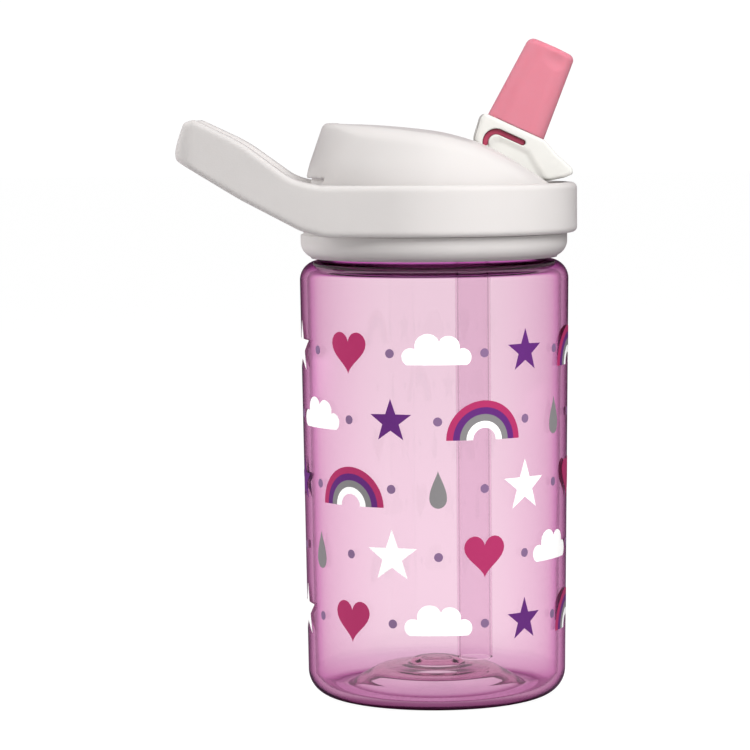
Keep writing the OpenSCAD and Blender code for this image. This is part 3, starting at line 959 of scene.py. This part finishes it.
def make_floor():
    """A wide sheet of plain pale paper."""
    paper, nodes, links, shader = new_material("paper")
    nodes.remove(shader)
    dull = add_node(nodes, "BsdfDiffuse")
    links.new(lit_or_mirrored(nodes, links, lit=(0.6, 0.6, 0.6), mirrored=(0.2, 0.1, 0.18)),
              dull.inputs["Color"])
    pale = add_node(nodes, "BsdfDiffuse", {"Color": (0.12, 0.12, 0.12, 1)})
    glow = add_node(nodes, "Emission", {"Strength": 0.97})
    bright = add_node(nodes, "AddShader")
    links.new(pale.outputs[0], bright.inputs[0])
    links.new(glow.outputs[0], bright.inputs[1])
    mix = add_node(nodes, "MixShader")
    links.new(seen_directly(nodes, links), mix.inputs["Fac"])
    links.new(dull.outputs[0], mix.inputs[1])
    links.new(bright.outputs[0], mix.inputs[2])
    links.new(mix.outputs[0], nodes["Material Output"].inputs["Surface"])
    half = 9000
    corners = [(-half, -half, 0), (half, -half, 0), (half, half, 0), (-half, half, 0)]
    mesh_object("floor", corners, [[0, 1, 2, 3]], paper, smooth=False)


def make_world():
    """A white room that lights softly."""
    world = bpy.data.worlds.new("studio")
    bpy.context.scene.world = world
    world.use_nodes = True
    nodes, links = world.node_tree.nodes, world.node_tree.links
    shown = add_node(nodes, "Mix", data_type="RGBA")
    set_inputs(shown, {"B": (1.03, 1.03, 1.03, 1)})
    links.new(seen_directly(nodes, links), shown.inputs["Factor"])
    links.new(lit_or_mirrored(nodes, links, lit=(0.23, 0.23, 0.23), mirrored=(0.075, 0.03, 0.065)),
              shown.inputs["A"])
    links.new(shown.outputs["Result"], nodes["Background"].inputs["Color"])


def area_light(name, place, size, power):
    """A soft light aimed at the top of the body, which gloss doesn't mirror and clear walls don't show."""
    light = bpy.data.lights.new(name, "AREA")
    light.shape = "RECTANGLE"
    light.size, light.size_y = size
    light.energy = power
    obj = bpy.data.objects.new(name, light)
    bpy.context.collection.objects.link(obj)
    obj.location = place
    obj.visible_glossy = False
    obj.visible_transmission = False
    aim = np.array((0, 0, 0.12))
    way = aim - np.array(place)
    flat = math.hypot(way[0], way[1])
    obj.rotation_euler = (math.atan2(flat, -way[2]), 0, math.atan2(way[1], way[0]) - math.pi / 2)


def make_stage():
    """Camera, floor, room and lights."""
    make_camera()
    make_floor()
    make_world()
    area_light("key", (0.2, -0.42, 0.52), size=(0.4, 0.4), power=4.7)
    area_light("fill", (-0.95, 0.42, 0.36), size=(0.6, 0.9), power=12.5)
    scene = bpy.context.scene
    scene.view_settings.view_transform = "Standard"
    scene.cycles.max_bounces = 16
    scene.cycles.transmission_bounces = 16
    scene.cycles.transparent_max_bounces = 16


def finish_cad_nodes():
    """Gives the two small CAD nodes that stay as they are their silicone."""
    for name in ("stem_seal", "vent_valve"):
        mesh = frame["nodes"][name].data
        mesh.materials.clear()
        mesh.materials.append(pale_soft)


finish_cad_nodes()
make_stage()
make_bottle()
make_print()
make_collar()
make_gasket()
make_handle()
make_dome()
make_stem()
make_mouthpiece()
make_root_painted_shade()
make_straw()
